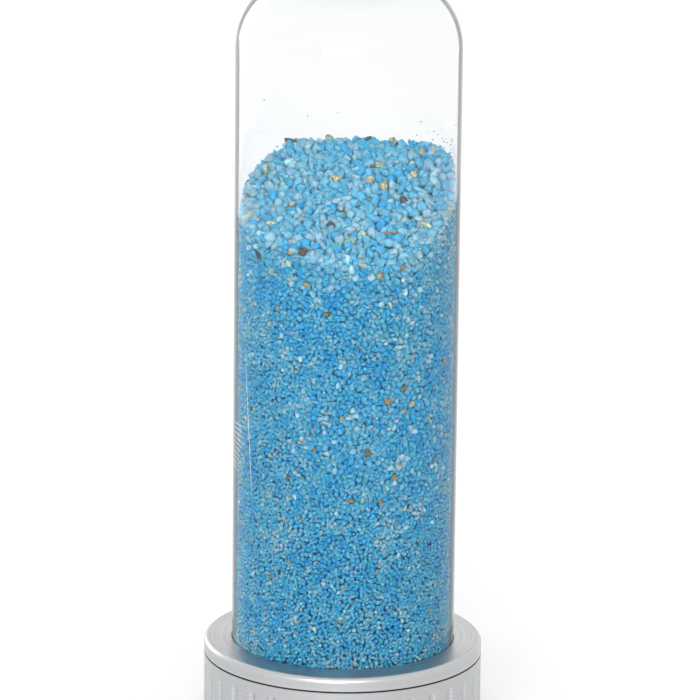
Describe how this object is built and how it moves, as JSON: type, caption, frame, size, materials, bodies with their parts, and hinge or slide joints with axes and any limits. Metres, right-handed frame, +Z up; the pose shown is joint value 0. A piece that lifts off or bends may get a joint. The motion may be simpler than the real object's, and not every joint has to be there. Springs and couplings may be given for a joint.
{
  "type": "hourglass",
  "caption": "Free-standing sand timer: straight clear glass bulbs clamped at a narrow waist, screw caps at both ends, coarse blue sand in the lower bulb.",
  "frame": {"origin": "centre of the surface that the hourglass stands on", "axes": "+Z up along the axis of the hourglass; -Y is the front, the side that the sand slopes down to"},
  "size_m": [0.05, 0.05, 0.3],
  "materials": {
    "clear_glass": "clear, smooth, thin-walled, with faint handling scratches",
    "blue_sand": "coarse dyed quartz grains, light blue, with a few tan, brown and white grains",
    "satin_metal": "turned and satin anodised",
    "steel": "fine brushed",
    "screw_steel": "satin stainless",
    "seal": "matt translucent silicone",
    "liner": "fine closed-cell foam",
    "foot": "matt silicone"
  },
  "bodies": {
    "glass": {"lower_bulb": "clear_glass", "upper_bulb": "clear_glass", "orifice_disc": "steel", "lower_neck_gasket": "seal", "upper_neck_gasket": "seal", "collar_front": "satin_metal", "collar_rear": "satin_metal", "collar_screws": "screw_steel", "bottom_ring": "satin_metal", "top_ring": "satin_metal", "sand_charge": "blue_sand"},
    "bottom_seal": {"bottom_liner": "liner"},
    "bottom_closure": {"bottom_cap": "satin_metal", "bottom_foot_pad": "foot"},
    "top_seal": {"top_liner": "liner"},
    "top_closure": {"top_cap": "satin_metal", "top_foot_pad": "foot"}
  },
  "joints": [
    {"name": "bottom_cap_lift", "type": "slide", "parent": "glass", "child": "bottom_seal", "axis": [0, 0, -1], "range_m": [0, 0.006]},
    {"name": "bottom_cap_turn", "type": "hinge", "parent": "bottom_seal", "child": "bottom_closure", "pos_m": [0, 0, 0], "axis": [0, 0, -1], "range_deg": [0, 540]},
    {"name": "top_cap_lift", "type": "slide", "parent": "glass", "child": "top_seal", "axis": [0, 0, 1], "range_m": [0, 0.006]},
    {"name": "top_cap_turn", "type": "hinge", "parent": "top_seal", "child": "top_closure", "pos_m": [0, 0, 0.3], "axis": [0, 0, 1], "range_deg": [0, 540]}
  ],
  "couplings": [
    {"joint": "bottom_cap_lift", "follows": "bottom_cap_turn", "m_per_rad": 0.00063662},
    {"joint": "top_cap_lift", "follows": "top_cap_turn", "m_per_rad": 0.00063662}
  ]
}
